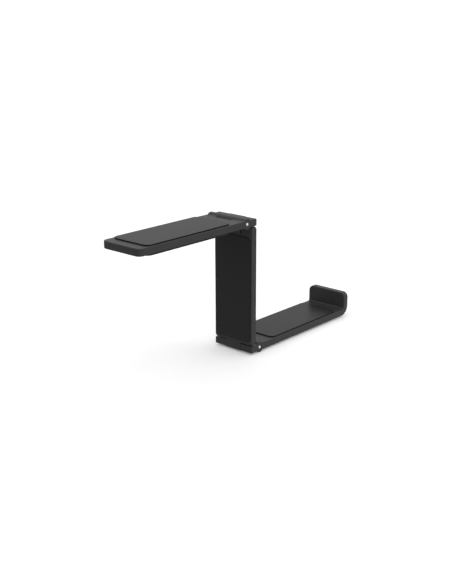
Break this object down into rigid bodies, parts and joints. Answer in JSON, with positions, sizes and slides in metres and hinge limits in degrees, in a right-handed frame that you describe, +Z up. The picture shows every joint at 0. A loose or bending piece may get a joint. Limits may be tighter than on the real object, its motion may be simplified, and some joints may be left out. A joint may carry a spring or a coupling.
{
  "type": "folding under-desk headphone hook",
  "caption": "Folding under-desk headphone hook: flat plates joined by friction hinges, thin pads on their faces and an upturned hook end.",
  "frame": {"origin": "middle of the desk pad's upper face, the face that is stuck to the desk's underside", "axes": "+Z up into the desk, +X along the desk plate towards its hinge and on along the hook arm, +Y across the plates"},
  "size_m": [0.1919, 0.03, 0.0867],
  "materials": {
    "coated_plate": "satin black powder coat",
    "pin_steel": "polished stainless steel",
    "sleeve_brass": "plain machined brass",
    "washer_plastic": "plain black acetal",
    "desk_foam": "matt black adhesive foam",
    "pad_silicone": "matt black silicone",
    "adhesive_film": "thin black double-sided film"
  },
  "bodies": {
    "desk_side": {"desk_plate": "coated_plate", "desk_adhesive_pad": "desk_foam", "underside_film": "adhesive_film", "underside_pad": "pad_silicone", "upper_hinge_pin": "pin_steel"},
    "centre_link": {"centre_plate": "coated_plate", "centre_front_film": "adhesive_film", "centre_front_pad": "pad_silicone", "centre_rear_film": "adhesive_film", "centre_rear_pad": "pad_silicone", "upper_friction_sleeve": "sleeve_brass", "lower_friction_sleeve": "sleeve_brass", "upper_right_washer": "washer_plastic", "upper_left_washer": "washer_plastic", "lower_right_washer": "washer_plastic", "lower_left_washer": "washer_plastic"},
    "hook_side": {"hook_arm": "coated_plate", "headband_film": "adhesive_film", "headband_pad": "pad_silicone", "lower_hinge_pin": "pin_steel"}
  },
  "joints": [
    {"name": "upper_fold", "type": "hinge", "parent": "desk_side", "child": "centre_link", "pos_m": [0.0462, 0, -0.00295], "axis": [0, 1, 0], "range_deg": [0, 90]},
    {"name": "lower_fold", "type": "hinge", "parent": "centre_link", "child": "hook_side", "pos_m": [0.0583, 0, -0.08295], "axis": [0, -1, 0], "range_deg": [0, 90]}
  ]
}
